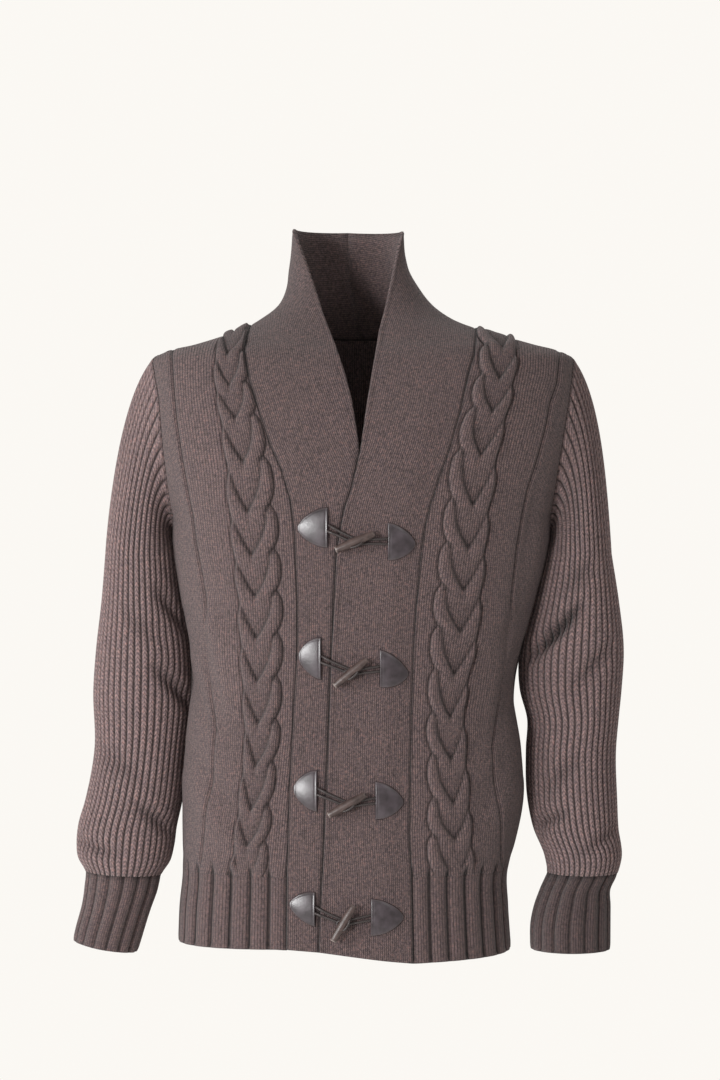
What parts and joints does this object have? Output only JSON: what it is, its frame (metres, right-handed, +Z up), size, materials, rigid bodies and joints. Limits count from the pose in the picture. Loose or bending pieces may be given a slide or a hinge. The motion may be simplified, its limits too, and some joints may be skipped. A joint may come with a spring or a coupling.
{
  "type": "shawl collar cardigan",
  "caption": "Knitted cardigan with a shawl collar, cabled fronts, ribbed sleeves, hem and cuffs, closed by toggles through cord loops on leather patches.",
  "frame": {"origin": "midway between the shoulders, level with the tops of the shoulder seams, where the wearer holds the garment up", "axes": "+Z up, the front faces -Y, +X towards the wearer's left"},
  "size_m": [0.5651, 0.26, 0.748],
  "materials": {
    "knit_body": "matt taupe-brown wool knit, cabled on the fronts",
    "knit_rib": "matt wool knit in wide ribs",
    "knit_sleeve": "matt wool knit in narrow full ribs",
    "knit_band": "matt firm double knit",
    "leather": "glossy dark brown, stitched edge",
    "cord": "dark brown braided cord",
    "toggle": "brown horn look, satin"
  },
  "bodies": {
    "root": {"back": "knit_body", "front_left": "knit_body", "front_right": "knit_body", "hem_rib_back": "knit_rib", "hem_rib_front_left": "knit_rib", "hem_rib_front_right": "knit_rib", "sleeve_left": "knit_sleeve", "sleeve_right": "knit_sleeve", "cuff_left": "knit_rib", "cuff_right": "knit_rib", "collar_band_left": "knit_band", "collar_band_right": "knit_band", "patch_1_left": "leather", "patch_1_right": "leather", "patch_2_left": "leather", "patch_2_right": "leather", "patch_3_left": "leather", "patch_3_right": "leather", "patch_4_left": "leather", "patch_4_right": "leather", "cord_1_loop": "cord", "cord_1_hold": "cord", "cord_2_loop": "cord", "cord_2_hold": "cord", "cord_3_loop": "cord", "cord_3_hold": "cord", "cord_4_loop": "cord", "cord_4_hold": "cord", "toggle_1": "toggle", "toggle_2": "toggle", "toggle_3": "toggle", "toggle_4": "toggle"}
  },
  "joints": []
}
